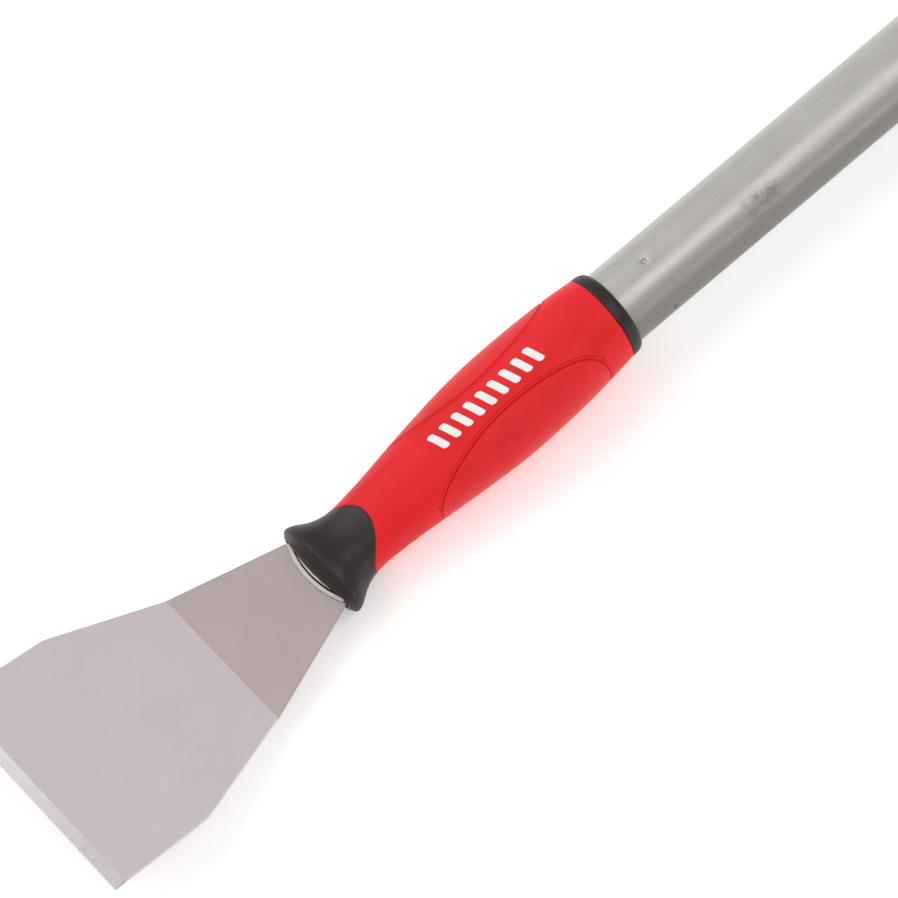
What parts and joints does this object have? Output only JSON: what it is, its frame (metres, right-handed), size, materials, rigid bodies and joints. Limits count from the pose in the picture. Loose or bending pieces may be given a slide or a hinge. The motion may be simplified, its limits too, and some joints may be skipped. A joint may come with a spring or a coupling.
{
  "type": "floor scraper",
  "caption": "Long-handled floor scraper with a bent steel blade, a steel tube shaft, two moulded grips and a hanging hole in the end cap.",
  "frame": {"origin": "middle of the bottom of the bounding box; the tube axis is 25.6 mm above it", "axes": "+X along the tube from the cutting edge to the hanging end, +Z out of the side the bevel faces, +Y completes the right-handed frame"},
  "size_m": [0.61, 0.1016, 0.0442],
  "materials": {
    "blade_steel": "fine matt ground steel",
    "plate_steel": "sheared steel plate",
    "rivet_steel": "plain",
    "tube_steel": "satin galvanised",
    "red_plastic": "fine satin moulding",
    "red_soft": "soft-touch matt",
    "black_rubber": "matt with a soft sheen",
    "black_plastic": "matt",
    "core_plastic": "plain moulding"
  },
  "bodies": {
    "root": {"scraper_blade": "blade_steel", "upper_inner_plate": "plate_steel", "upper_outer_plate": "plate_steel", "lower_inner_plate": "plate_steel", "lower_outer_plate": "plate_steel", "tang_rivets": "rivet_steel", "front_core": "core_plastic", "blade_guard": "black_rubber", "front_grip_shell": "red_plastic", "front_left_panel": "red_soft", "front_right_panel": "red_soft", "front_collar_ring": "black_plastic", "handle_tube": "tube_steel", "rear_collar_ring": "black_plastic", "rear_core": "core_plastic", "rear_grip_shell": "red_plastic", "rear_left_panel": "red_soft", "rear_right_panel": "red_soft", "end_cap": "black_plastic"}
  },
  "joints": []
}
